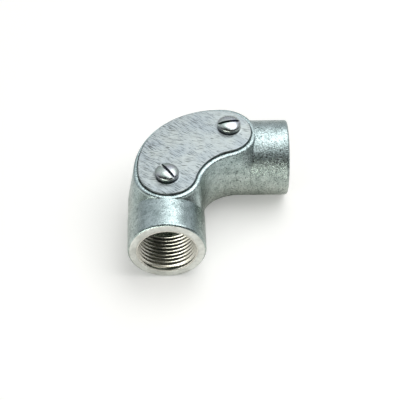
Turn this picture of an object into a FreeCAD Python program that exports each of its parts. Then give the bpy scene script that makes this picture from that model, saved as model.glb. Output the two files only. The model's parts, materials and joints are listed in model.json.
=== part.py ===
"""A 90 degree inspection bend for 20 mm screwed steel conduit.

A malleable iron casting joins two internally threaded sockets at right angles. Its top is open along the bend, so
that cables can be pulled round it, and a flat bean-shaped cover sits in a shallow recess and is held by two slotted
screws, one over each socket.

The bend is drawn with its two socket axes crossing at (0, 0, 0): the inlet socket opens towards -Y, the outlet socket
towards +X and the cover faces +Z. The casting and cover are the same on both sides of the line y = -x, apart from the
screws, which each have a place of their own, so the inlet half is drawn and the outlet half is its mirror. The
finished pieces are then moved, so that the origin lies under the middle of the whole bend. Sizes are in millimetres.
"""
import FreeCAD
import Part
import math
import os

from FreeCAD import Vector

# Sockets
socket_radius = 12.75
centre_to_face = 41.5
face_edge_round = 0.85
thread_nominal_radius = 10.0
thread_length = 15.5

# Cast channel between the sockets, and the shoulder that runs down onto each socket
collar_step = 0.15
bottom_flat = 0.3
wall_draft = 1.4
back_draft = 1.2
shoulder_draft = 4.55
shoulder_corner_radius = 4.0
collar_overlap = 6.5

# Rim round the cover
rim_height = 12.9
rim_width = 1.4
rim_back_width = 0.45
rim_wall_height = 0.9
rim_roll_height = 0.65
rim_roll_width = 0.95
rim_roll_back_width = 0.3
rim_roll_sections = 5
lobe_wall_angles = (212, 250, 290, 328)

# Cover in its recess
lobe_centre = 19.25
lobe_inset = 0.5
cover_back_reach = 2.26
cover_front_radius = 16.54
cover_thickness = 2.0
cover_proud = 0.7
cover_edge_round = 0.25
cover_gap = 0.3

# Wire channel inside
ledge_width = 1.8
floor_thickness = 3.0
channel_floor_round = 6.5
passage_radius = 7.4
channel_passage_overlap = 4.0

# Lugs and cover screws, each screw placed from the middle of its end of the cover
inlet_screw_beyond = 1.25
inlet_screw_back = 0.2
outlet_screw_beyond = 2.15
outlet_screw_back = 1.8
lug_radius = 4.4
lug_depth = 7.0
screw_radius = 2.0
tapped_clearance = 0.05
cover_hole_clearance = 0.3
screw_length = 6.0
screw_tip_chamfer = 0.4
head_radius = 3.9
head_edge_height = 1.2
head_height = 2.7
slot_width = 1.1
slot_depth = 1.3
inlet_slot_angle = -54.0
outlet_slot_angle = 10.0

# Sizes that follow from the ones above
parting_half_width = socket_radius - collar_step
rim_lobe_radius = parting_half_width - wall_draft
cover_lobe_radius = rim_lobe_radius - rim_width - cover_gap
shoulder_end = lobe_centre + rim_lobe_radius + shoulder_draft
socket_start = shoulder_end - collar_overlap
seat_height = rim_height + cover_proud - cover_thickness
cover_top = seat_height + cover_thickness
channel_floor = floor_thickness - parting_half_width
face_to_thread_end = centre_to_face - thread_length
cutter_margin = 2.0
diagonal = Vector(1, -1, 0) / math.sqrt(2)
origin_shift = Vector(
    (socket_radius - centre_to_face) / 2, (centre_to_face - socket_radius) / 2, socket_radius
)


def mirrored(point):
    """Return the point on the other side of the line y = -x."""
    return Vector(-point.y, -point.x, point.z)


def on_outlet_leg(shape):
    """Return a shape of the inlet leg as it lies on the outlet leg."""
    return shape.mirror(Vector(0, 0, 0), Vector(1, 1, 0))


def polar(centre, radius, degrees):
    """Return the point at a radius and a plan angle from a centre."""
    angle = math.radians(degrees)
    return centre + Vector(radius * math.cos(angle), radius * math.sin(angle), 0)


def plan_angle(vector):
    """Return the plan angle of a vector, from 0 to 360 degrees."""
    return math.degrees(math.atan2(vector.y, vector.x)) % 360


def run_edge(run):
    """Make the edge of a run, which is (start, end) or (start, middle, end) for an arc."""
    if len(run) == 2:
        return Part.LineSegment(*run).toShape()
    return Part.Arc(*run).toShape()


def both_sides(inlet_runs, front_middle, back_middle):
    """Close an outline from its runs round the inlet end, their mirror and the arcs between the two."""
    outlet_runs = [tuple(mirrored(point) for point in reversed(run)) for run in reversed(inlet_runs)]
    first = inlet_runs[0][0]
    last = inlet_runs[-1][-1]
    front = (last, front_middle, mirrored(last))
    back = (mirrored(first), back_middle, first)
    return [run_edge(run) for run in [*inlet_runs, front, *outlet_runs, back]]


def front_centre():
    """Find how far along x the hollow front arc is centred, on y = -x, where it touches both lobes."""
    spread = lobe_inset + lobe_centre
    touching = cover_front_radius + cover_lobe_radius
    return (spread + math.sqrt(2 * touching**2 - (lobe_centre - lobe_inset) ** 2)) / 2


def front_reach(offset):
    """Return how far in front of the axes' crossing an outline passes, at an offset outside the cover's edge."""
    return math.sqrt(2) * front_centre() - cover_front_radius + offset


def back_centre(lobe_radius, back_reach):
    """Find how far along x the long back arc is centred, on y = -x, where it wraps round both lobes."""
    spread = lobe_inset + lobe_centre
    depth = back_reach - lobe_radius
    return (lobe_inset**2 + lobe_centre**2 - depth**2) / (2 * spread + 2 * math.sqrt(2) * depth)


def bean(offset, back_offset, height, wall_angles=()):
    """Draw the cover's outline, or one at an offset from it, with its lobes cut at some wall angles."""
    lobe = Vector(lobe_inset, -lobe_centre, height)
    lobe_radius = cover_lobe_radius + offset
    back_reach = cover_back_reach + back_offset
    back = back_centre(lobe_radius, back_reach)
    front = front_centre()
    first = plan_angle(lobe - Vector(back, -back, height))
    last = plan_angle(Vector(front, -front, height) - lobe)
    angles = [first, *wall_angles, last]
    runs = [
        tuple(polar(lobe, lobe_radius, angle) for angle in (start, (start + end) / 2, end))
        for start, end in zip(angles, angles[1:])
    ]
    rise = Vector(0, 0, height)
    return both_sides(runs, diagonal * front_reach(offset) + rise, diagonal * -back_reach + rise)


def channel_outline(end, corner_radius, height):
    """Draw the channel's plan at the parting plane, with straight walls and an end across each socket."""
    half = parting_half_width
    bow = math.sqrt(2) - 1
    rim_step = cover_gap + rim_width
    front_radius = (front_reach(rim_step + wall_draft) - math.sqrt(2) * half) / bow
    front = half + front_radius
    back = (half - cover_back_reach - cover_gap - rim_back_width - back_draft) / bow
    wall_start = Vector(-half, -back, height)
    wall_end = Vector(half, -front, height)
    if corner_radius:
        left = Vector(corner_radius - half, corner_radius - end, height)
        right = Vector(half - corner_radius, corner_radius - end, height)
        runs = [
            (wall_start, polar(left, corner_radius, 180)),
            tuple(polar(left, corner_radius, angle) for angle in (180, 225, 270)),
            (polar(left, corner_radius, 270), polar(right, corner_radius, 270)),
            tuple(polar(right, corner_radius, angle) for angle in (270, 315, 360)),
            (polar(right, corner_radius, 0), wall_end),
        ]
    else:
        left = Vector(-half, -end, height)
        right = Vector(half, -end, height)
        runs = [(wall_start, left), (left, right), (right, wall_end)]
    front_middle = polar(Vector(front, -front, height), front_radius, 135)
    back_middle = polar(Vector(back, -back, height), back + half, 135)
    return both_sides(runs, front_middle, back_middle)


def extruded(edges, height):
    """Raise a closed outline to a solid, or lower it where the height is negative."""
    return Part.Face(Part.Wire(edges)).extrude(Vector(0, 0, height))


def edges_at_height(shape, height):
    """List a solid's edges that lie wholly at one height."""
    return [
        edge
        for edge in shape.Edges
        if abs(edge.BoundBox.ZMin - height) < 1e-4 and abs(edge.BoundBox.ZMax - height) < 1e-4
    ]


def leg_cylinder(radius, start, end):
    """Make a cylinder along the inlet leg, between two distances from the axes' crossing."""
    return Part.makeCylinder(radius, end - start, Vector(0, -start, 0), Vector(0, -1, 0))


def on_both_legs(shape):
    """Return a shape on the inlet leg together with its copy on the outlet leg."""
    return [shape, on_outlet_leg(shape)]


def at_both_screws(make):
    """Return what is made at the inlet screw's place, and the same made for the outlet screw and mirrored."""
    inlet = Vector(lobe_inset - inlet_screw_back, -lobe_centre - inlet_screw_beyond, 0)
    outlet = Vector(lobe_inset - outlet_screw_back, -lobe_centre - outlet_screw_beyond, 0)
    return [make(inlet), on_outlet_leg(make(outlet))]


def make_lower_channel():
    """Make the lower half of the channel: a round-bottomed trough up to the parting plane."""
    ends = socket_start + cutter_margin
    trough = extruded(channel_outline(ends, 0, 0), -parting_half_width)
    rounded = [
        edge
        for edge in edges_at_height(trough, -parting_half_width)
        if edge.BoundBox.YMax > 1e-4 - ends and edge.BoundBox.XMin < ends - 1e-4
    ]
    return trough.makeFillet(parting_half_width - bottom_flat, rounded)


def rim_outline(height, inset=0, back_inset=0, wall_angles=()):
    """Draw the rim's outside at a height, drawn in from its full width by an inset."""
    return bean(
        cover_gap + rim_width - inset, cover_gap + rim_back_width - back_inset, height, wall_angles=wall_angles
    )


def make_rim():
    """Make the top of the rim: a short upright wall whose outer edge rolls over in a quarter ellipse."""
    roll_start = rim_height - rim_roll_height
    foot = rim_height - rim_wall_height
    sections = []
    for number in range(rim_roll_sections):
        angle = math.pi / 2 * number / (rim_roll_sections - 1)
        drawn_in = 1 - math.cos(angle)
        height = roll_start + rim_roll_height * math.sin(angle)
        outline = rim_outline(height, rim_roll_width * drawn_in, rim_roll_back_width * drawn_in)
        sections.append(Part.Wire(outline))
    roll = Part.makeLoft(sections, True)
    return extruded(rim_outline(foot), roll_start - foot).fuse(roll)


def make_upper_channel():
    """Make the upper half: drafted walls from the parting plane up to the foot of the rim's upright wall."""
    lower = channel_outline(shoulder_end, shoulder_corner_radius, 0)
    upper = rim_outline(rim_height - rim_wall_height, wall_angles=lobe_wall_angles)
    walls = [Part.makeRuledSurface(below, above) for below, above in zip(lower, upper)]
    bottom = Part.Face(Part.Wire(lower))
    top = Part.Face(Part.Wire(upper))
    shell = Part.makeShell([*walls, bottom, top])
    shell.sewShape()
    solid = Part.Solid(shell)
    if solid.Volume < 0:
        solid.reverse()
    return solid.fuse(make_rim())


def make_socket():
    """Make the inlet socket's outside, with its outer edge rounded at the machined face."""
    socket = leg_cylinder(socket_radius, socket_start, centre_to_face)
    face_edges = [edge for edge in socket.Edges if abs(edge.BoundBox.YMax + centre_to_face) < 1e-4]
    return socket.makeFillet(face_edge_round, face_edges)


def make_lug_land(place):
    """Make what the wire channel leaves standing for a cover screw: its lug and the wall beyond it."""
    foot = seat_height - lug_depth
    lug = Part.makeCylinder(lug_radius, lug_depth, place + Vector(0, 0, foot))
    reach = centre_to_face
    beyond = Part.makeBox(2 * reach, reach, lug_depth, Vector(-reach, place.y - reach, foot))
    return lug.fuse(beyond)


def make_wire_channel():
    """Make the space inside the channel that opens under the cover, less the two lugs."""
    outline = bean(-ledge_width, -ledge_width, channel_floor)
    space = extruded(outline, seat_height + cutter_margin - channel_floor)
    space = space.makeFillet(channel_floor_round, edges_at_height(space, channel_floor))
    return space.cut(at_both_screws(make_lug_land))


def make_casting():
    """Make the casting: channel, sockets, recess, wire space, threaded bores and tapped lugs."""
    recess = extruded(bean(cover_gap, cover_gap, seat_height), cover_thickness + cutter_margin)
    thread_bore = leg_cylinder(thread_nominal_radius, face_to_thread_end, centre_to_face + cutter_margin)
    passage = leg_cylinder(passage_radius, lobe_centre - channel_passage_overlap, centre_to_face)
    tapped_holes = at_both_screws(
        lambda place: Part.makeCylinder(screw_radius + tapped_clearance, seat_height, place)
    )
    body = make_lower_channel().fuse([make_upper_channel(), *on_both_legs(make_socket())])
    body = body.cut([recess, make_wire_channel()])
    body = body.cut([*on_both_legs(thread_bore), *on_both_legs(passage), *tapped_holes])
    return body.removeSplitter()


def make_cover():
    """Make the flat cover, with its top edge eased and a clearance hole for each screw."""
    plate = extruded(bean(0, 0, seat_height), cover_thickness)
    plate = plate.makeFillet(cover_edge_round, edges_at_height(plate, cover_top))
    hole_radius = screw_radius + cover_hole_clearance
    return plate.cut(at_both_screws(lambda place: Part.makeCylinder(hole_radius, cover_top, place)))


def make_screw(slot_angle):
    """Make a slotted round-head screw, with its head's underside at the origin and its shank pointing down."""
    rise = head_height - head_edge_height
    dome_radius = (head_radius**2 + rise**2) / (2 * rise)
    dome_centre = Vector(0, 0, head_height - dome_radius)
    half_angle = math.asin(head_radius / dome_radius) / 2
    dome_middle = dome_centre + Vector(math.sin(half_angle), 0, math.cos(half_angle)) * dome_radius
    corners = [
        Vector(0, 0, head_height),
        Vector(0, 0, -screw_length),
        Vector(screw_radius - screw_tip_chamfer, 0, -screw_length),
        Vector(screw_radius, 0, screw_tip_chamfer - screw_length),
        Vector(screw_radius, 0, 0),
        Vector(head_radius, 0, 0),
        Vector(head_radius, 0, head_edge_height),
    ]
    edges = [run_edge(pair) for pair in zip(corners, corners[1:])]
    edges.append(run_edge((corners[-1], dome_middle, corners[0])))
    screw = Part.Face(Part.Wire(edges)).revolve(Vector(0, 0, 0), Vector(0, 0, 1), 360)
    slot_length = 2 * head_radius + cutter_margin
    slot = Part.makeBox(
        slot_length, slot_width, head_height, Vector(-slot_length / 2, -slot_width / 2, head_height - slot_depth)
    )
    slot.rotate(Vector(0, 0, 0), Vector(0, 0, 1), slot_angle)
    return screw.cut(slot)


def make_screws():
    """Make both cover screws, each standing on the cover over its own hole."""
    places = [vertex.Point for vertex in at_both_screws(Part.Vertex)]
    screws = [make_screw(inlet_slot_angle), make_screw(outlet_slot_angle)]
    for screw, place in zip(screws, places):
        screw.translate(place + Vector(0, 0, cover_top))
    return screws


def main():
    """Make every piece, move it to the bend's own origin and write it."""
    os.makedirs("parts", exist_ok=True)
    screw_inlet, screw_outlet = make_screws()
    pieces = {
        "casting": make_casting(),
        "cover": make_cover(),
        "screw_inlet": screw_inlet,
        "screw_outlet": screw_outlet,
    }
    for name, shape in pieces.items():
        shape.translate(origin_shift)
        box = shape.BoundBox
        corners = [round(value, 3) for value in (box.XMin, box.YMin, box.ZMin, box.XMax, box.YMax, box.ZMax)]
        print(f"{name}: {len(shape.Solids)} solid, valid {shape.isValid()}, {shape.Volume:.1f} mm3, box {corners}")
        shape.exportStep(f"parts/{name}.step")


main()
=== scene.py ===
"""Looks of a galvanised inspection bend for 20 mm screwed conduit.

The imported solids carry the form. This script dresses them in zinc, adds the threads that the solids leave
out, and turns the two cover screws with their threads and slots. Everything is in the frame of the solids.
"""

import json
import logging
import math
from dataclasses import dataclass
from enum import Enum

import bmesh
import bpy
from mathutils import Matrix, Vector


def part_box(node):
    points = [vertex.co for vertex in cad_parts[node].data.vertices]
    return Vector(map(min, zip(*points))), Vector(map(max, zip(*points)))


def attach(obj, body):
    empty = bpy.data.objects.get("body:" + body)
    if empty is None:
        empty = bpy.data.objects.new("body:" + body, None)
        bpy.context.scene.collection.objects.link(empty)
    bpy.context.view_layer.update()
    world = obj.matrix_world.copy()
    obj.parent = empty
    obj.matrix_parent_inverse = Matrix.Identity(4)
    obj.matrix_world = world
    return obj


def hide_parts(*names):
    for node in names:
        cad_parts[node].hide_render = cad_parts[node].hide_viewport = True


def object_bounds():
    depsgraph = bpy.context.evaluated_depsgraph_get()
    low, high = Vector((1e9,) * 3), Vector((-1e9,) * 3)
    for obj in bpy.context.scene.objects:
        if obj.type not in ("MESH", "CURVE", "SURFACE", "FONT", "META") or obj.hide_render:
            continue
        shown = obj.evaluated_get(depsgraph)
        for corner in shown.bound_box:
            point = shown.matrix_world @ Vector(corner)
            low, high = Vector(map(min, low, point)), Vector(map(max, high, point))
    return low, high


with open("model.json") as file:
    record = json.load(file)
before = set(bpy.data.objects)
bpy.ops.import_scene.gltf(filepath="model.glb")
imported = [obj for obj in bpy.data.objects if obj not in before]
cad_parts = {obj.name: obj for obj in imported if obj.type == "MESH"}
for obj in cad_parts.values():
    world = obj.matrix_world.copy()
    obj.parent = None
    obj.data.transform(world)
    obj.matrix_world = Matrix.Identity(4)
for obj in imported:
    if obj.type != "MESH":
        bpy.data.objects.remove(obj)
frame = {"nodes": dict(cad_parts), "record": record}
cad_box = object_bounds()

MM = 0.001
# Points of a turned surface that lie closer than this are one
SEAM_MM = 0.0005
MIX_COLOURS = {"data_type": "RGBA"}
Tree = bpy.types.NodeTree
Output = bpy.types.NodeSocket
# The radius and the height of each corner
Corners = list[tuple[float, float]]
logger = logging.getLogger("inspection_bend")


def linear(hex_colour: str) -> tuple[float, float, float, float]:
    """Turn an sRGB hex colour into linear light.

    Args:
        hex_colour: Six hex digits, as in "c8d0d2".

    Returns:
        Red, green, blue and an alpha of one.
    """
    channels = [int(hex_colour[i:i + 2], 16) / 255 for i in (0, 2, 4)]
    values = [c / 12.92 if c <= 0.04045 else ((c + 0.055) / 1.055) ** 2.4 for c in channels]
    return (values[0], values[1], values[2], 1.0)


WHITE = linear("ffffff")
BLACK = linear("000000")


def feed(node: bpy.types.Node, **inputs: object) -> None:
    """Set a node's inputs, or link them.

    Args:
        node: The node.
        **inputs: A value or another node's output for each input, with underscores for spaces. A key of the
            form i0, i1 names an input by its place.
    """
    for key, value in inputs.items():
        place = key[1:]
        by_place = key[0] == "i" and place.isdigit()
        socket = node.inputs[int(place)] if by_place else node.inputs[key.replace("_", " ")]
        if isinstance(value, Output):
            node.id_data.links.new(value, socket)
        else:
            socket.default_value = value


def add_node(tree: Tree, kind: str, settings: dict | None = None, **inputs: object) -> bpy.types.Node:
    """Add a node, set it and link its inputs.

    Args:
        tree: The node tree that gets the node.
        kind: The node's type, such as "ShaderNodeTexNoise".
        settings: Attributes of the node itself, by name.
        **inputs: The node's inputs, in the form that feed takes.

    Returns:
        The new node.
    """
    node = tree.nodes.new(kind)
    for name, value in (settings or {}).items():
        setattr(node, name, value)
    feed(node, **inputs)
    return node


@dataclass(frozen=True)
class Noise:
    """A noise whose features are about a real size in millimetres."""

    size_mm: float
    detail: float
    roughness: float = 0.5

    def inputs(self) -> dict[str, float]:
        """Return the inputs of a noise, by name."""
        return {"Scale": 1.0 / (self.size_mm * MM), "Detail": self.detail, "Roughness": self.roughness}


@dataclass(frozen=True)
class Ramp:
    """A value that runs from low to high while another runs from start to end, and is level beyond both."""

    start: float
    end: float
    low: float = 0.0
    high: float = 1.0

    def inputs(self) -> dict[str, float]:
        """Return the four limits of a mapped range, by their places."""
        return {"i1": self.start, "i2": self.end, "i3": self.low, "i4": self.high}


class Side(Enum):
    """The two ends of the bend, by the name of their mount."""

    INLET = "inlet"
    OUTLET = "outlet"


def screw_axis(node: str) -> Vector:
    """Find the point where a cover screw's axis meets the top of the cover.

    Args:
        node: The screw's name.

    Returns:
        The point, which is the middle of the head's seat.
    """
    low, high = (Vector(corner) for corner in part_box(node))
    middle = (low + high) / 2
    return Vector((middle.x, middle.y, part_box("cover")[1][2]))


def new_metal(name: str) -> tuple[bpy.types.Material, bpy.types.Node, Output]:
    """Start the material of a bare metal.

    Args:
        name: The finish's name.

    Returns:
        The material, its shader and the place on the object.
    """
    material = bpy.data.materials.new(name)
    material.use_nodes = True
    shader = material.node_tree.nodes["Principled BSDF"]
    shader.inputs["Metallic"].default_value = 1.0
    place = add_node(material.node_tree, "ShaderNodeTexCoord").outputs["Object"]
    return material, shader, place


@dataclass(frozen=True)
class CastZinc:
    """Malleable iron, cast in sand and hot-dip galvanised: a soft grey metal with a grain and a faint mottle.

    The grain is a little coarser than real sand casting, so that it shows. It is stronger, with more dark
    specks, towards the outlet. Low parts are a little warmer in tone and high parts a little cooler. The end
    faces of both sockets were cut bare and reflect more than the skin round them.
    """

    colour: str = "d1d9d8"
    dark_colour: str = "a9b3b1"
    fleck_colour: str = "6d7877"
    speck_colour: str = "2f3938"
    low_tint: str = "fffff6"
    high_tint: str = "f4feff"
    face_colour: str = "f8faf5"
    face_mark_colour: str = "d4d6d0"
    face_roughness: float = 0.45
    mottle: Noise = Noise(3.2, detail=4.0, roughness=0.6)
    grain: Noise = Noise(0.42, detail=2.0, roughness=0.6)
    pits: Noise = Noise(0.9, detail=5.0, roughness=0.7)
    mottle_tone: Ramp = Ramp(0.35, 0.68)
    fleck_share: Ramp = Ramp(0.52, 0.66, high=0.6)
    pinhole_share: Ramp = Ramp(0.55, 0.66, high=0.85)
    skin_roughness: Ramp = Ramp(0.3, 0.7, low=0.19, high=0.35)
    sandy: Ramp = Ramp(-2.0 * MM, 8.0 * MM, low=0.45)
    rise: Ramp = Ramp(10.0 * MM, 23.0 * MM)
    relief_height_mm: float = 0.11
    pit_share: float = 1.4
    face_start_mm: float = 0.08
    face_full_mm: float = 0.03
    edge_softness_mm: float = 0.5
    edge_samples: int = 6

    def make(self) -> bpy.types.Material:
        """Build the material, with the machined faces of both sockets in it.

        Returns:
            The finished material.
        """
        material, shader, place = new_metal("galvanised_cast_iron")
        tree = material.node_tree
        mottle = add_node(tree, "ShaderNodeTexNoise", Vector=place, **self.mottle.inputs())
        grain = add_node(tree, "ShaderNodeTexNoise", Vector=place, **self.grain.inputs()).outputs["Fac"]
        pits = add_node(tree, "ShaderNodeTexNoise", Vector=place, **self.pits.inputs()).outputs["Fac"]
        along = add_node(tree, "ShaderNodeSeparateXYZ", Vector=place)
        tone = add_node(tree, "ShaderNodeMapRange", Value=mottle.outputs["Fac"], **self.mottle_tone.inputs())
        sandy = add_node(tree, "ShaderNodeMapRange", Value=along.outputs["X"], **self.sandy.inputs())
        pinhole = add_node(tree, "ShaderNodeMapRange", Value=grain, **self.pinhole_share.inputs())
        speck = add_node(tree, "ShaderNodeMath", {"operation": "MULTIPLY"}, i0=pinhole.outputs["Result"],
                         i1=sandy.outputs["Result"])
        face = self.face_mask(tree, along)
        skin = self.skin_colour(tree, along.outputs["Z"], tone.outputs["Result"], pits, speck.outputs[0])
        cut = add_node(tree, "ShaderNodeMix", MIX_COLOURS, i0=tone.outputs["Result"],
                       i6=linear(self.face_mark_colour), i7=linear(self.face_colour))
        colour = add_node(tree, "ShaderNodeMix", MIX_COLOURS, i0=face, i6=skin, i7=cut.outputs[2])
        rough = add_node(tree, "ShaderNodeMapRange", Value=pits, **self.skin_roughness.inputs())
        dull = add_node(tree, "ShaderNodeMix", i0=face, i2=rough.outputs["Result"], i3=self.face_roughness)
        strength = add_node(tree, "ShaderNodeMix", i0=face, i2=sandy.outputs["Result"], i3=self.sandy.low)
        normal = self.relief(tree, pits, grain, strength.outputs[0])
        feed(shader, Base_Color=colour.outputs[2], Roughness=dull.outputs[0], Normal=normal)
        return material

    def face_mask(self, tree: Tree, along: bpy.types.Node) -> Output:
        """Find the machined end faces, which lie furthest out along +X and -Y.

        Args:
            tree: The material's node tree.
            along: The place on the object, split into its axes.

        Returns:
            A value of one on the faces and nought elsewhere.
        """
        reach = cad_box[1][0]
        ends = Ramp(reach - self.face_start_mm * MM, reach - self.face_full_mm * MM)
        inlet = add_node(tree, "ShaderNodeMath", {"operation": "MULTIPLY"}, i0=along.outputs["Y"], i1=-1.0)
        outward = add_node(tree, "ShaderNodeMath", {"operation": "MAXIMUM"}, i0=along.outputs["X"],
                           i1=inlet.outputs[0])
        mask = add_node(tree, "ShaderNodeMapRange", Value=outward.outputs[0], **ends.inputs())
        return mask.outputs["Result"]

    def skin_colour(self, tree: Tree, up: Output, tone: Output, pits: Output, speck: Output) -> Output:
        """Lay flecks and dark specks over the mottle, and tint the whole by its height.

        Args:
            tree: The material's node tree.
            up: The height on the object.
            tone: How light the mottle is.
            pits: The noise of the pits, which hold the flecks.
            speck: How much of the specks' colour shows.

        Returns:
            The colour of the cast skin.
        """
        fleck = add_node(tree, "ShaderNodeMapRange", Value=pits, **self.fleck_share.inputs())
        high = add_node(tree, "ShaderNodeMapRange", Value=up, **self.rise.inputs())
        base = add_node(tree, "ShaderNodeMix", MIX_COLOURS, i0=tone, i6=linear(self.dark_colour),
                        i7=linear(self.colour))
        flecked = add_node(tree, "ShaderNodeMix", MIX_COLOURS, i0=fleck.outputs["Result"],
                           i6=base.outputs[2], i7=linear(self.fleck_colour))
        specked = add_node(tree, "ShaderNodeMix", MIX_COLOURS, i0=speck, i6=flecked.outputs[2],
                           i7=linear(self.speck_colour))
        tint = add_node(tree, "ShaderNodeMix", MIX_COLOURS, i0=high.outputs["Result"],
                        i6=linear(self.low_tint), i7=linear(self.high_tint))
        skin = add_node(tree, "ShaderNodeMix", {**MIX_COLOURS, "blend_type": "MULTIPLY"}, i0=1.0,
                        i6=specked.outputs[2], i7=tint.outputs[2])
        return skin.outputs[2]

    def relief(self, tree: Tree, pits: Output, grain: Output, strength: Output) -> Output:
        """Give the skin its pits and grain, and ease the shading of its sharp edges.

        Args:
            tree: The material's node tree.
            pits: The noise of the pits.
            grain: The noise of the grain.
            strength: How strong the relief is.

        Returns:
            The normal of the surface.
        """
        height = add_node(tree, "ShaderNodeMath", {"operation": "MULTIPLY_ADD"}, i0=pits, i1=self.pit_share,
                          i2=grain)
        eased = add_node(tree, "ShaderNodeBevel", {"samples": self.edge_samples},
                         Radius=self.edge_softness_mm * MM)
        bump = add_node(tree, "ShaderNodeBump", Height=height.outputs[0], Strength=strength,
                        Distance=self.relief_height_mm * MM, Normal=eased.outputs[0])
        return bump.outputs["Normal"]


@dataclass(frozen=True)
class LinishedZinc:
    """Steel plate, zinc coated and rubbed on an abrasive belt: pale, with fine scratches mostly one way.

    The scratches are drawn wider and shorter than real ones, so that they show, and in patches they turn.
    They grow a little denser away from the outlet. The plate is drawn up very slightly round each screw.
    """

    colour: str = "b6bebc"
    cool_colour: str = "a8b2b5"
    line_colour: str = "3e4544"
    roughness: float = 0.4
    cloud: Noise = Noise(6.0, detail=3.0)
    cloud_tone: Ramp = Ramp(0.35, 0.65)
    scratch: Noise = Noise(0.22, detail=2.0, roughness=0.6)
    scratch_length_mm: float = 2.6
    scratch_angle: float = -38.0
    cross_angle: float = -12.0
    cross_share: Ramp = Ramp(0.5, 0.6)
    wear: Ramp = Ramp(8.0 * MM, -24.0 * MM, high=0.05)
    line_share: Ramp = Ramp(0.53, 0.66, high=0.8)
    scratch_height_mm: float = 0.04
    lip: Ramp = Ramp(4.0 * MM, 4.6 * MM, low=1.0, high=0.0)
    lip_height_mm: float = 0.06

    def make(self) -> bpy.types.Material:
        """Build the material.

        Returns:
            The finished material.
        """
        material, shader, place = new_metal("linished_zinc_plate")
        tree = material.node_tree
        main_way = self.scratches(tree, place, self.scratch_angle)
        cross_way = self.scratches(tree, place, self.cross_angle)
        cloud = add_node(tree, "ShaderNodeTexNoise", Vector=place, **self.cloud.inputs()).outputs["Fac"]
        way = add_node(tree, "ShaderNodeMapRange", Value=cloud, **self.cross_share.inputs())
        scratch = add_node(tree, "ShaderNodeMix", i0=way.outputs["Result"], i2=main_way, i3=cross_way)
        along = add_node(tree, "ShaderNodeSeparateXYZ", Vector=place)
        wear = add_node(tree, "ShaderNodeMapRange", Value=along.outputs["X"], **self.wear.inputs())
        worn = add_node(tree, "ShaderNodeMath", {"operation": "ADD"}, i0=scratch.outputs[0],
                        i1=wear.outputs["Result"])
        line = add_node(tree, "ShaderNodeMapRange", Value=worn.outputs[0], **self.line_share.inputs())
        tone = add_node(tree, "ShaderNodeMapRange", Value=cloud, **self.cloud_tone.inputs())
        base = add_node(tree, "ShaderNodeMix", MIX_COLOURS, i0=tone.outputs["Result"],
                        i6=linear(self.cool_colour), i7=linear(self.colour))
        lined = add_node(tree, "ShaderNodeMix", MIX_COLOURS, i0=line.outputs["Result"], i6=base.outputs[2],
                         i7=linear(self.line_colour))
        lips = add_node(tree, "ShaderNodeBump", Height=self.lips(tree, place), Strength=1.0,
                        Distance=self.lip_height_mm * MM)
        bump = add_node(tree, "ShaderNodeBump", Height=scratch.outputs[0], Strength=1.0,
                        Distance=self.scratch_height_mm * MM, Normal=lips.outputs["Normal"])
        feed(shader, Base_Color=lined.outputs[2], Roughness=self.roughness, Normal=bump.outputs["Normal"])
        return material

    def scratches(self, tree: Tree, place: Output, angle: float) -> Output:
        """Draw a noise out along one direction of the plate.

        Args:
            tree: The material's node tree.
            place: The place on the object.
            angle: The scratches' direction in plan, in degrees.

        Returns:
            The height of the scratched surface.
        """
        turned = add_node(tree, "ShaderNodeMapping", Vector=place, Rotation=(0.0, 0.0, math.radians(-angle)))
        drawn = add_node(tree, "ShaderNodeMapping", Vector=turned.outputs[0],
                         Scale=(self.scratch.size_mm / self.scratch_length_mm, 1.0, 1.0))
        noise = add_node(tree, "ShaderNodeTexNoise", Vector=drawn.outputs[0], **self.scratch.inputs())
        return noise.outputs["Fac"]

    def lips(self, tree: Tree, place: Output) -> Output:
        """Raise the plate a little round both screws.

        Args:
            tree: The material's node tree.
            place: The place on the object.

        Returns:
            A height of one beside each screw, falling to nought further out.
        """
        rises = []
        for side in Side:
            away = add_node(tree, "ShaderNodeVectorMath", {"operation": "DISTANCE"}, i0=place,
                            i1=screw_axis(f"screw_{side.value}"))
            rise = add_node(tree, "ShaderNodeMapRange", {"interpolation_type": "SMOOTHSTEP"},
                            Value=away.outputs["Value"], **self.lip.inputs())
            rises.append(rise.outputs["Result"])
        return add_node(tree, "ShaderNodeMath", {"operation": "ADD"}, i0=rises[0], i1=rises[1]).outputs[0]


@dataclass(frozen=True)
class CutZinc:
    """Iron cut after casting: the threads and the mouths of the sockets, cream-white with faint marks."""

    colour: str = "f3f1e8"
    mark_colour: str = "cbc9be"
    roughness: float = 0.3
    marks: Noise = Noise(0.3, detail=3.0)
    mark_tone: Ramp = Ramp(0.35, 0.6)
    mark_height_mm: float = 0.01
    mark_strength: float = 0.5

    def make(self) -> bpy.types.Material:
        """Build the material.

        Returns:
            The finished material.
        """
        material, shader, place = new_metal("cut_iron_thread")
        tree = material.node_tree
        marks = add_node(tree, "ShaderNodeTexNoise", Vector=place, **self.marks.inputs()).outputs["Fac"]
        tone = add_node(tree, "ShaderNodeMapRange", Value=marks, **self.mark_tone.inputs())
        colour = add_node(tree, "ShaderNodeMix", MIX_COLOURS, i0=tone.outputs["Result"],
                          i6=linear(self.mark_colour), i7=linear(self.colour))
        bump = add_node(tree, "ShaderNodeBump", Height=marks, Strength=self.mark_strength,
                        Distance=self.mark_height_mm * MM)
        feed(shader, Base_Color=colour.outputs[2], Roughness=self.roughness, Normal=bump.outputs["Normal"])
        return material


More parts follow.
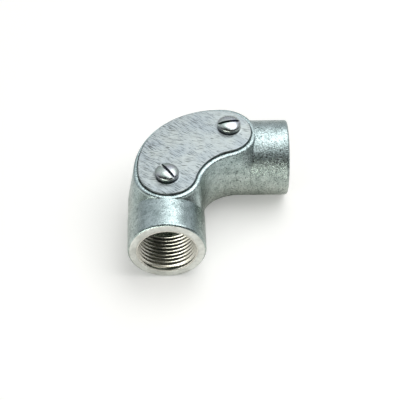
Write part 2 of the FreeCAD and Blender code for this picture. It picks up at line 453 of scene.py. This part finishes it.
@dataclass(frozen=True)
class Bloom:
    """The green to violet bloom of passivated zinc, in patches over its plain colour."""

    plain: str
    green: str
    violet: str
    patches: Noise = Noise(3.5, detail=1.0)
    greener: Ramp = Ramp(0.5, 0.35)
    bluer: Ramp = Ramp(0.5, 0.65)

    def add_to(self, tree: Tree, place: Output) -> Output:
        """Add the bloom to a material.

        Args:
            tree: The material's node tree.
            place: The place on the object.

        Returns:
            The colour of the surface.
        """
        patches = add_node(tree, "ShaderNodeTexNoise", Vector=place, **self.patches.inputs()).outputs["Fac"]
        greener = add_node(tree, "ShaderNodeMapRange", Value=patches, **self.greener.inputs())
        bluer = add_node(tree, "ShaderNodeMapRange", Value=patches, **self.bluer.inputs())
        green = add_node(tree, "ShaderNodeMix", MIX_COLOURS, i0=greener.outputs["Result"],
                         i6=linear(self.plain), i7=linear(self.green))
        colour = add_node(tree, "ShaderNodeMix", MIX_COLOURS, i0=bluer.outputs["Result"],
                          i6=green.outputs[2], i7=linear(self.violet))
        return colour.outputs[2]


@dataclass(frozen=True)
class BrightZinc:
    """Turned steel with bright passivated zinc: a soft mirror with a thin haze and a faint bloom."""

    bloom: Bloom = Bloom(plain="b9c0be", green="aebdb6", violet="b1b6bc")
    haze: Noise = Noise(0.7, detail=3.0)
    haze_roughness: Ramp = Ramp(0.3, 0.7, low=0.21, high=0.35)
    haze_height_mm: float = 0.012
    haze_strength: float = 0.5

    def make(self) -> bpy.types.Material:
        """Build the material.

        Returns:
            The finished material.
        """
        material, shader, place = new_metal("bright_zinc_screw")
        tree = material.node_tree
        haze = add_node(tree, "ShaderNodeTexNoise", Vector=place, **self.haze.inputs()).outputs["Fac"]
        rough = add_node(tree, "ShaderNodeMapRange", Value=haze, **self.haze_roughness.inputs())
        bump = add_node(tree, "ShaderNodeBump", Height=haze, Strength=self.haze_strength,
                        Distance=self.haze_height_mm * MM)
        feed(shader, Base_Color=self.bloom.add_to(tree, place), Roughness=rough.outputs["Result"],
             Normal=bump.outputs["Normal"])
        return material


@dataclass(frozen=True)
class DullZincPaintedShade:
    """Zinc plate in a recess, where it is thin and was never rubbed: dull, with a strong bloom, and painted
    dark as the shade in the screw's slot and under its head.
    """

    # The dark base of these colours is painted shade; the green and violet are the zinc's bloom.
    bloom: Bloom = Bloom(plain="464d4c", green="2c584c", violet="424c66")
    roughness: float = 0.5
    grain: Noise = Noise(0.3, detail=2.0)
    grain_height_mm: float = 0.01
    grain_strength: float = 0.5

    def make(self) -> bpy.types.Material:
        """Build the material.

        Returns:
            The finished material.
        """
        material, shader, place = new_metal("dull_zinc_painted_shade")
        tree = material.node_tree
        grain = add_node(tree, "ShaderNodeTexNoise", Vector=place, **self.grain.inputs()).outputs["Fac"]
        bump = add_node(tree, "ShaderNodeBump", Height=grain, Strength=self.grain_strength,
                        Distance=self.grain_height_mm * MM)
        feed(shader, Base_Color=self.bloom.add_to(tree, place), Roughness=self.roughness,
             Normal=bump.outputs["Normal"])
        return material


@dataclass(frozen=True)
class Finishes:
    """The finishes of the whole bend."""

    cast: bpy.types.Material
    linished: bpy.types.Material
    cut: bpy.types.Material
    bright: bpy.types.Material
    # dull zinc painted dark as shade, for the slot walls and under the screw heads
    dull: bpy.types.Material


def object_from(mesh: bmesh.types.BMesh, name: str, material: bpy.types.Material) -> bpy.types.Object:
    """Turn a finished bmesh into a smooth-shaded object.

    Args:
        mesh: The bmesh, which is freed here.
        name: The piece's name.
        material: The piece's finish.

    Returns:
        The object, linked to the scene, with its place in its mesh.
    """
    bmesh.ops.recalc_face_normals(mesh, faces=mesh.faces)
    for face in mesh.faces:
        face.smooth = True
    data = bpy.data.meshes.new(name)
    mesh.to_mesh(data)
    mesh.free()
    data.materials.append(material)
    piece = bpy.data.objects.new(name, data)
    bpy.context.scene.collection.objects.link(piece)
    return piece


def draw_section(mesh: bmesh.types.BMesh, corners: Corners, closed: bool) -> tuple[list, list]:
    """Draw a section in the plane of the turning axis.

    Args:
        mesh: The bmesh that gets the section.
        corners: Radius and height of each corner, in millimetres.
        closed: Whether the last corner joins the first.

    Returns:
        The section's vertices and its edges.
    """
    verts = [mesh.verts.new((radius * MM, 0.0, height * MM)) for radius, height in corners]
    pairs = list(zip(verts, verts[1:]))
    if closed:
        pairs.append((verts[-1], verts[0]))
    return verts, [mesh.edges.new(pair) for pair in pairs]


def turn_section(mesh: bmesh.types.BMesh, corners: Corners, closed: bool, steps: int) -> None:
    """Turn a section once round the axis.

    Args:
        mesh: The bmesh that gets the turned surface.
        corners: Radius and height of each corner, in millimetres.
        closed: Whether the last corner joins the first.
        steps: The number of steps round the axis.
    """
    verts, edges = draw_section(mesh, corners, closed)
    bmesh.ops.spin(
        mesh, geom=[*verts, *edges], cent=(0, 0, 0), axis=(0, 0, 1), dvec=(0, 0, 0), angle=math.tau,
        steps=steps, use_merge=True, use_duplicate=False,
    )
    bmesh.ops.remove_doubles(mesh, verts=mesh.verts, dist=SEAM_MM * MM)


def shade_by_angle(piece: bpy.types.Object, degrees: float) -> None:
    """Keep the sharper edges of a piece crisp, and shade the rest smooth.

    Args:
        piece: The piece.
        degrees: The angle between two faces from which their edge is crisp.
    """
    limit = math.radians(degrees)
    mesh = bmesh.new()
    mesh.from_mesh(piece.data)
    for edge in mesh.edges:
        edge.smooth = len(edge.link_faces) == 2 and edge.calc_face_angle(0.0) < limit
    mesh.to_mesh(piece.data)
    mesh.free()


@dataclass
class Thread:
    """A helical ridge with a flat crest and two flanks, cut inside a bore or on a shank. Sizes in mm."""

    root_radius: float
    crest_radius: float
    pitch: float
    crest_flat: float
    length: float
    turn_steps: int
    flank_lean: float = 30.0

    def add_to(self, mesh: bmesh.types.BMesh, start: float) -> None:
        """Wind the ridge down from a height, and close both its ends.

        Args:
            mesh: The bmesh that gets the ridge.
            start: The height of the middle of the crest at the ridge's upper end.
        """
        flank = abs(self.root_radius - self.crest_radius) * math.tan(math.radians(self.flank_lean))
        half_crest = self.crest_flat / 2
        half_root = half_crest + flank
        corners = [
            (self.root_radius, start + half_root),
            (self.crest_radius, start + half_crest),
            (self.crest_radius, start - half_crest),
            (self.root_radius, start - half_root),
        ]
        turns = self.length / self.pitch
        steps = round(self.turn_steps * turns)
        verts, edges = draw_section(mesh, corners, closed=True)
        mesh.faces.new(verts)
        spun = bmesh.ops.spin(
            mesh, geom=edges, cent=(0, 0, 0), axis=(0, 0, 1), dvec=(0, 0, -self.pitch * MM * turns / steps),
            angle=math.tau * turns, steps=steps, use_merge=False, use_duplicate=False,
        )
        last = [element for element in spun["geom_last"] if isinstance(element, bmesh.types.BMVert)]
        bmesh.ops.contextual_create(mesh, geom=last)


@dataclass
class Socket:
    """The thread and the mouth of one socket, on the axis of its mount. Sizes in mm."""

    side: Side
    crest_radius: float = 9.19
    pitch: float = 1.5
    crest_flat: float = 0.3
    wall_overlap: float = 0.04
    first_crest_depth: float = 0.85
    thread_steps: int = 72
    mouth_radius: float = 9.42
    mouth_depth: float = 0.14
    mouth_chamfer: float = 0.12
    mouth_steps: int = 144
    face_inset: float = 0.01
    crisp_angle: float = 35.0

    def build(self, finishes: Finishes) -> bpy.types.Object:
        """Cut the thread and the mouth, and set them in the socket.

        Args:
            finishes: The bend's finishes.

        Returns:
            The piece, riding on the casting.
        """
        mount = next(m for m in frame["record"]["mounts"] if m["name"] == self.side.value)
        length = mount["dims"]["length_mm"]
        bore = mount["dims"]["r_mm"]
        face = length / 2
        mesh = bmesh.new()
        self.add_mouth(mesh, face - self.face_inset, bore)
        thread = Thread(
            root_radius=bore + self.wall_overlap, crest_radius=self.crest_radius, pitch=self.pitch,
            crest_flat=self.crest_flat, length=length - self.first_crest_depth - self.pitch / 2,
            turn_steps=self.thread_steps,
        )
        thread.add_to(mesh, face - self.first_crest_depth)
        out = Vector(mount["axis"])
        place = Matrix.Translation(Vector(mount["pos_m"])) @ out.to_track_quat("Z", "Y").to_matrix().to_4x4()
        bmesh.ops.transform(mesh, matrix=place, verts=mesh.verts)
        piece = object_from(mesh, f"thread_{self.side.value}", finishes.cut)
        shade_by_angle(piece, self.crisp_angle)
        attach(piece, "casting")
        return piece

    def add_mouth(self, mesh: bmesh.types.BMesh, face: float, bore: float) -> None:
        """Turn the ring of metal that narrows the mouth ahead of the first full thread.

        Args:
            mesh: The bmesh that gets the ring.
            face: The height of the ring's face.
            bore: The radius of the bore.
        """
        corners = [
            (bore, face),
            (self.mouth_radius + self.mouth_chamfer, face),
            (self.mouth_radius, face - self.mouth_chamfer),
            (self.mouth_radius, face - self.mouth_depth),
            (bore + self.wall_overlap, face - self.mouth_depth - (bore - self.mouth_radius)),
            (bore + self.wall_overlap, face - self.mouth_chamfer),
        ]
        turn_section(mesh, corners, closed=True, steps=self.mouth_steps)


@dataclass
class CoverScrew:
    """A slotted round-head screw: a head with an undercut edge, a slot and a threaded shank. Sizes in mm."""

    side: Side
    slot_angle: float
    head_radius: float = 3.88
    seat_radius: float = 3.25
    seat_height: float = 0.15
    undercut: float = 0.7
    side_height: float = 1.2
    head_height: float = 2.68
    fullness: float = 0.9
    dome_steps: int = 18
    slot_width: float = 1.0
    slot_depth: float = 1.12
    weld: float = 0.002
    core_radius: float = 1.58
    core_overlap: float = 0.03
    crest_radius: float = 1.98
    crest_flat: float = 0.09
    pitch: float = 0.7
    thread_steps: int = 36
    tip_chamfer: float = 0.4
    turn_steps: int = 96
    crisp_angle: float = 38.0

    def build(self, finishes: Finishes) -> bpy.types.Object:
        """Turn the screw, cut its slot, wind its thread and stand it in its own place.

        Args:
            finishes: The bend's finishes.

        Returns:
            The piece, which replaces the plain screw.
        """
        node = f"screw_{self.side.value}"
        axis_point = screw_axis(node)
        shank = (axis_point.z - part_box(node)[0][2]) / MM
        mesh = bmesh.new()
        turn_section(mesh, self.outline(shank), closed=False, steps=self.turn_steps)
        # painted shade: the faces under the head take the dark second finish
        self.paint_underside_shade(mesh)
        blank = object_from(mesh, f"{node}_blank", finishes.bright)
        # second slot: dull zinc painted dark as shade
        blank.data.materials.append(finishes.dull)
        self.cut_slot(blank)
        thread = Thread(
            root_radius=self.core_radius - self.core_overlap, crest_radius=self.crest_radius,
            pitch=self.pitch, crest_flat=self.crest_flat, length=shank - self.tip_chamfer - self.pitch,
            turn_steps=self.thread_steps,
        )
        mesh = self.mesh_of(blank)
        thread.add_to(mesh, -self.pitch / 2)
        bmesh.ops.transform(mesh, matrix=Matrix.Translation(axis_point), verts=mesh.verts)
        piece = object_from(mesh, f"{node}_turned", finishes.bright)
        # second slot: dull zinc painted dark as shade
        piece.data.materials.append(finishes.dull)
        shade_by_angle(piece, self.crisp_angle)
        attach(piece, node)
        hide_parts(node)
        return piece

    def outline(self, shank: float) -> Corners:
        """Draw half of the screw's section, from the tip of the shank to the top of the head.

        Args:
            shank: The shank's length.

        Returns:
            Radius and height of each corner, with the head's seat at nought.
        """
        dome_height = self.head_height - self.side_height
        dome = []
        for step in range(self.dome_steps):
            angle = math.tau / 4 * step / self.dome_steps
            radius = self.head_radius * math.cos(angle) ** self.fullness
            dome.append((radius, self.side_height + dome_height * math.sin(angle) ** self.fullness))
        return [
            (0.0, -shank),
            (self.core_radius - self.tip_chamfer, -shank),
            (self.core_radius, self.tip_chamfer - shank),
            (self.core_radius, 0.0),
            (self.seat_radius, 0.0),
            (self.seat_radius, self.seat_height),
            (self.head_radius, self.undercut),
            *dome,
            (0.0, self.head_height),
        ]

    def paint_underside_shade(self, mesh: bmesh.types.BMesh) -> None:
        """Give the faces under the head's edge the second finish, which is painted shade under the head.

        Args:
            mesh: The turned screw.
        """
        # painted shade under the head's edge
        for face in mesh.faces:
            if 0.0 < face.calc_center_median().z < self.undercut * MM:
                face.material_index = 1

    def cut_slot(self, blank: bpy.types.Object) -> None:
        """Mill the driver slot across the head, with its walls in the second finish, which paints shade in
        the slot.

        The cutter's middle is on top of the head, so half of its height cuts, and its length runs out of the
        head on both sides.

        Args:
            blank: The turned screw.
        """
        mesh = bmesh.new()
        bmesh.ops.create_cube(mesh, size=1.0)
        size = Vector((self.head_radius * 3, self.slot_width, self.slot_depth * 2)) * MM
        middle = Vector((0.0, 0.0, self.head_height * MM))
        turn = Matrix.Rotation(math.radians(self.slot_angle), 4, "Z")
        bmesh.ops.transform(mesh, matrix=turn @ Matrix.Translation(middle) @ Matrix.Diagonal((*size, 1.0)),
                            verts=mesh.verts)
        for face in mesh.faces:
            face.normal_update()
            # painted shade: the slot's walls take the dark second finish
            is_wall = abs(face.normal.z) < 0.5
            face.material_index = int(is_wall)
        cutter = object_from(mesh, "slot_cutter", blank.data.materials[0])
        slot = blank.modifiers.new("slot", "BOOLEAN")
        slot.object = cutter
        slot.operation = "DIFFERENCE"
        graph = bpy.context.evaluated_depsgraph_get()
        blank.data = bpy.data.meshes.new_from_object(blank.evaluated_get(graph))
        blank.modifiers.clear()
        bpy.data.objects.remove(cutter)

    def mesh_of(self, blank: bpy.types.Object) -> bmesh.types.BMesh:
        """Take the mesh out of a cut blank, weld the slivers that the cut left and delete the blank.

        Args:
            blank: The screw with its slot.

        Returns:
            The screw's closed mesh.
        """
        mesh = bmesh.new()
        mesh.from_mesh(blank.data)
        bpy.data.objects.remove(blank)
        bmesh.ops.remove_doubles(mesh, verts=mesh.verts, dist=self.weld * MM)
        bmesh.ops.dissolve_degenerate(mesh, edges=mesh.edges, dist=self.weld * MM)
        return mesh


@dataclass(frozen=True)
class Lamp:
    """A rectangular lamp, with its place and size in metres and its power in watts."""

    name: str
    place: tuple[float, float, float]
    size: tuple[float, float]
    power: float
    colour: str = "ffffff"

    def hang(self, aim: Vector) -> None:
        """Hang the lamp and point it.

        Args:
            aim: The point that the lamp faces.
        """
        data = bpy.data.lights.new(self.name, "AREA")
        data.shape = "RECTANGLE"
        data.size, data.size_y = self.size
        data.energy = self.power
        data.color = linear(self.colour)[:3]
        lamp = bpy.data.objects.new(self.name, data)
        place = Vector(self.place)
        turn = (place - aim).to_track_quat("Z", "Y").to_matrix().to_4x4()
        lamp.matrix_world = Matrix.Translation(place) @ turn
        bpy.context.scene.collection.objects.link(lamp)


@dataclass
class Studio:
    """The floor, the lamps, the room that the metals mirror, and the camera. Sizes in metres.

    The soft box hangs over the object, the side window stands at the front left and the low strip in front.
    A ramp of the room runs along one axis of the direction in which the room is seen.
    """

    floor_size: float = 6.0
    floor_colour: str = "f2f2f0"
    floor_glow: float = 0.24
    lamps: tuple[Lamp, ...] = (
        Lamp("soft_box", (0.2, 0.11, 0.6), (0.78, 0.5), 2.8),
        Lamp("side_window", (-0.36, -0.42, 0.26), (0.1, 0.1), 0.2),
        Lamp("low_strip", (-0.22, -0.5, 0.075), (0.5, 0.1), 0.95, "fffff4"),
    )
    lamp_aim: tuple[float, float, float] = (0.0, 0.0, 0.013)
    wall_foot_colour: str = "a2a4a8"
    wall_head_colour: str = "eceef2"
    wall_rise: Ramp = Ramp(0.0, 0.8)
    front_colour: str = "2c2e2e"
    window_colour: str = "f4f4ea"
    window_low: Ramp = Ramp(0.22, 0.08)
    window_left: Ramp = Ramp(0.25, -0.15)
    front_to_back: Ramp = Ramp(-0.1, 0.25)
    ambient_colour: str = "f4f4f2"
    ambient_strength: float = 0.4
    lens: float = 128.97
    sensor: float = 36.0
    nearest: float = 0.01
    camera_place: tuple[float, float, float] = (-0.01857, -0.32546, 0.36464)
    camera_right: tuple[float, float, float] = (0.99940, -0.03124, 0.01550)
    camera_up: tuple[float, float, float] = (0.01265, 0.73895, 0.67365)

    def build(self) -> None:
        """Set up the whole studio."""
        self.make_floor()
        for lamp in self.lamps:
            lamp.hang(Vector(self.lamp_aim))
        self.make_room()
        self.make_camera()
        bpy.context.scene.view_settings.view_transform = "Standard"

    def make_floor(self) -> None:
        """Lay the pale floor, which takes the object's shadow and is a little brighter to the camera."""
        mesh = bmesh.new()
        bmesh.ops.create_grid(mesh, x_segments=1, y_segments=1, size=self.floor_size / 2)
        material = bpy.data.materials.new("white_paper")
        material.use_nodes = True
        tree = material.node_tree
        tree.nodes.clear()
        diffuse = add_node(tree, "ShaderNodeBsdfDiffuse", Color=linear(self.floor_colour))
        glow = add_node(tree, "ShaderNodeEmission", Color=WHITE, Strength=self.floor_glow)
        blank = add_node(tree, "ShaderNodeEmission", Color=BLACK, Strength=0.0)
        path = add_node(tree, "ShaderNodeLightPath")
        seen = add_node(tree, "ShaderNodeMixShader", i0=path.outputs["Is Camera Ray"], i1=blank.outputs[0],
                        i2=glow.outputs[0])
        both = add_node(tree, "ShaderNodeAddShader", i0=diffuse.outputs[0], i1=seen.outputs[0])
        add_node(tree, "ShaderNodeOutputMaterial", Surface=both.outputs[0])
        floor = object_from(mesh, "paper_floor", material)

    def make_room(self) -> None:
        """Set what lies beyond the floor: white to the camera, plain light on the floor, a room in metal."""
        world = bpy.data.worlds.new("studio_room")
        bpy.context.scene.world = world
        world.use_nodes = True
        tree = world.node_tree
        tree.nodes.clear()
        room = add_node(tree, "ShaderNodeBackground", Color=self.room_colour(tree), Strength=1.0)
        ambient = add_node(tree, "ShaderNodeBackground", Color=linear(self.ambient_colour),
                           Strength=self.ambient_strength)
        white = add_node(tree, "ShaderNodeBackground", Color=WHITE, Strength=1.0)
        path = add_node(tree, "ShaderNodeLightPath")
        matt = add_node(tree, "ShaderNodeMixShader", i0=path.outputs["Is Diffuse Ray"], i1=room.outputs[0],
                        i2=ambient.outputs[0])
        shown = add_node(tree, "ShaderNodeMixShader", i0=path.outputs["Is Camera Ray"], i1=matt.outputs[0],
                         i2=white.outputs[0])
        add_node(tree, "ShaderNodeOutputWorld", Surface=shown.outputs[0])

    def room_colour(self, tree: Tree) -> Output:
        """Paint a wall behind that brightens upwards, and a dim front with a bright window low on its left.

        Args:
            tree: The world's node tree.

        Returns:
            The colour that the room has in each direction.
        """
        direction = add_node(tree, "ShaderNodeTexCoord").outputs["Generated"]
        parts = add_node(tree, "ShaderNodeSeparateXYZ", Vector=direction)
        rise = add_node(tree, "ShaderNodeMapRange", Value=parts.outputs["Z"], **self.wall_rise.inputs())
        wall = add_node(tree, "ShaderNodeMix", MIX_COLOURS, i0=rise.outputs["Result"],
                        i6=linear(self.wall_foot_colour), i7=linear(self.wall_head_colour))
        low = add_node(tree, "ShaderNodeMapRange", Value=parts.outputs["Z"], **self.window_low.inputs())
        left = add_node(tree, "ShaderNodeMapRange", Value=parts.outputs["X"], **self.window_left.inputs())
        window = add_node(tree, "ShaderNodeMath", {"operation": "MULTIPLY"}, i0=low.outputs["Result"],
                          i1=left.outputs["Result"])
        front = add_node(tree, "ShaderNodeMix", MIX_COLOURS, i0=window.outputs[0],
                         i6=linear(self.front_colour), i7=linear(self.window_colour))
        back = add_node(tree, "ShaderNodeMapRange", Value=parts.outputs["Y"], **self.front_to_back.inputs())
        colour = add_node(tree, "ShaderNodeMix", MIX_COLOURS, i0=back.outputs["Result"], i6=front.outputs[2],
                          i7=wall.outputs[2])
        return colour.outputs[2]

    def make_camera(self) -> None:
        """Stand the camera where the photograph was taken from."""
        right = Vector(self.camera_right)
        up = Vector(self.camera_up)
        back = right.cross(up)
        turn = Matrix((right, up, back)).transposed().to_4x4()
        data = bpy.data.cameras.new("camera")
        data.sensor_width = self.sensor
        data.lens = self.lens
        data.clip_start = self.nearest
        camera = bpy.data.objects.new("camera", data)
        camera.matrix_world = Matrix.Translation(Vector(self.camera_place)) @ turn
        bpy.context.scene.collection.objects.link(camera)
        bpy.context.scene.camera = camera


def main() -> None:
    """Dress the solids, add the threads and the screws, and set up the studio."""
    logging.basicConfig(level=logging.INFO)
    finishes = Finishes(
        cast=CastZinc().make(), linished=LinishedZinc().make(), cut=CutZinc().make(),
        bright=BrightZinc().make(), dull=DullZincPaintedShade().make(),
    )
    by_node = {
        "casting": finishes.cast,
        "cover": finishes.linished,
        "screw_inlet": finishes.bright,
        "screw_outlet": finishes.bright,
    }
    for name, material in by_node.items():
        node = frame["nodes"][name]
        node.data.materials.clear()
        node.data.materials.append(material)
        logger.info("%s dressed in %s", name, material.name)
    sockets = [Socket(side) for side in Side]
    screws = [CoverScrew(Side.INLET, slot_angle=-54.0), CoverScrew(Side.OUTLET, slot_angle=10.0)]
    for maker in [*sockets, *screws]:
        piece = maker.build(finishes)
        logger.info("%s built with %d faces", piece.name, len(piece.data.polygons))
    Studio().build()


if __name__ == "__main__":
    main()
